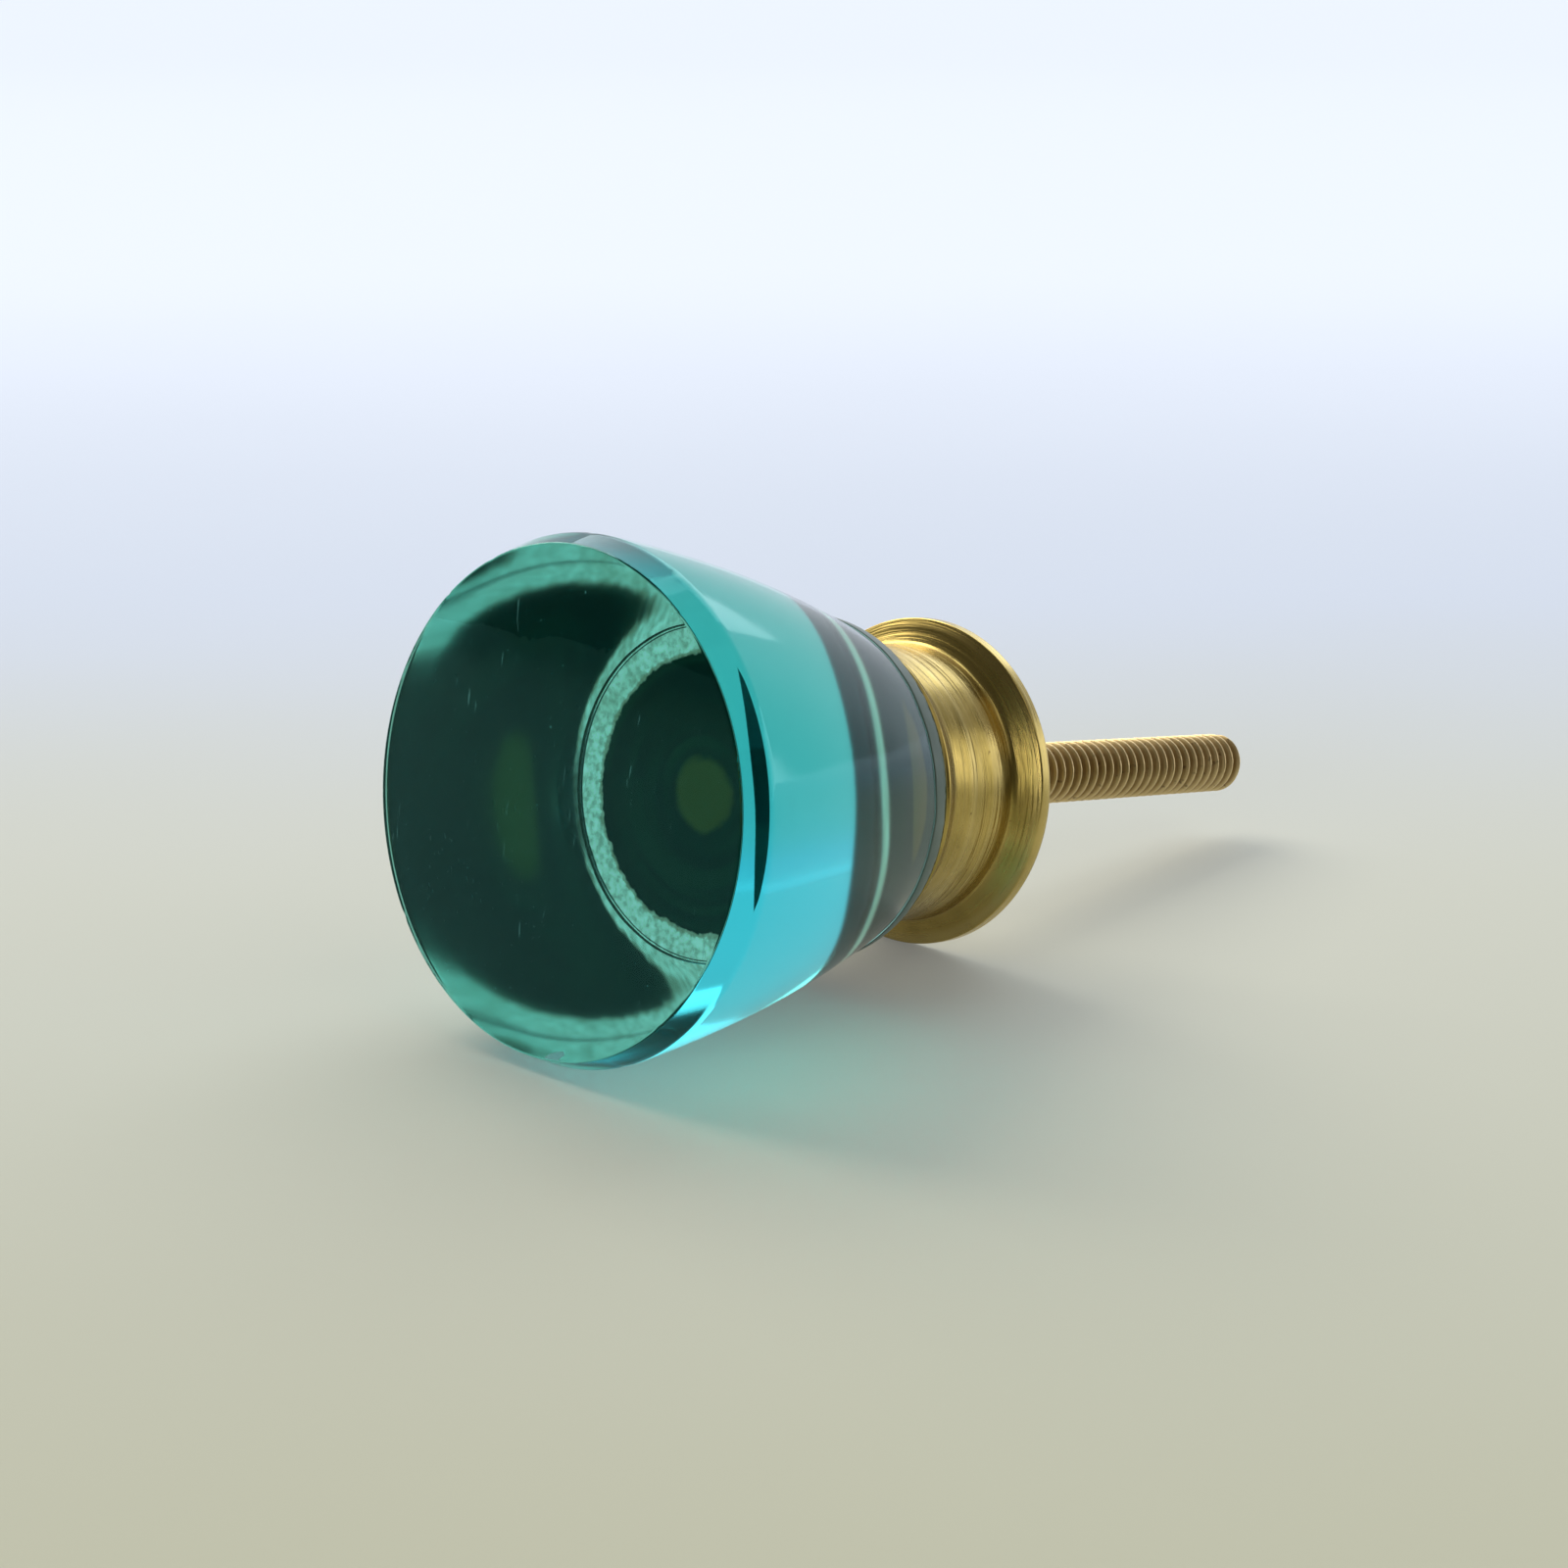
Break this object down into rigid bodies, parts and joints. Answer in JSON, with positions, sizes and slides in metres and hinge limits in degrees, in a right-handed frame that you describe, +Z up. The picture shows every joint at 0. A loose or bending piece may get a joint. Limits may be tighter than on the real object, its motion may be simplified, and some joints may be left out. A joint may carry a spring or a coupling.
{
  "type": "glass cabinet knob",
  "caption": "Glass drawer knob: solid tapered teal glass head with a flat bevelled front, glued to a flanged turned brass base with a fixed threaded stud at the back",
  "frame": {"origin": "centre of the flat back of the flange, the face that lies against the drawer front", "axes": "Y is the knob's axis: the stud points to +Y, the glass head to -Y; +Z is up"},
  "size_m": [0.0352, 0.0776, 0.0352],
  "materials": {
    "glass_head": "clear teal, polished",
    "adhesive": "cured glue, glossy, pale and sandy where it is pressed on the seat",
    "ferrule": "turned, lightly tarnished",
    "stud": "tarnished thread"
  },
  "bodies": {
    "root": {"glass_head": "glass_head", "adhesive": "adhesive", "ferrule": "ferrule", "stud": "stud"}
  },
  "joints": []
}
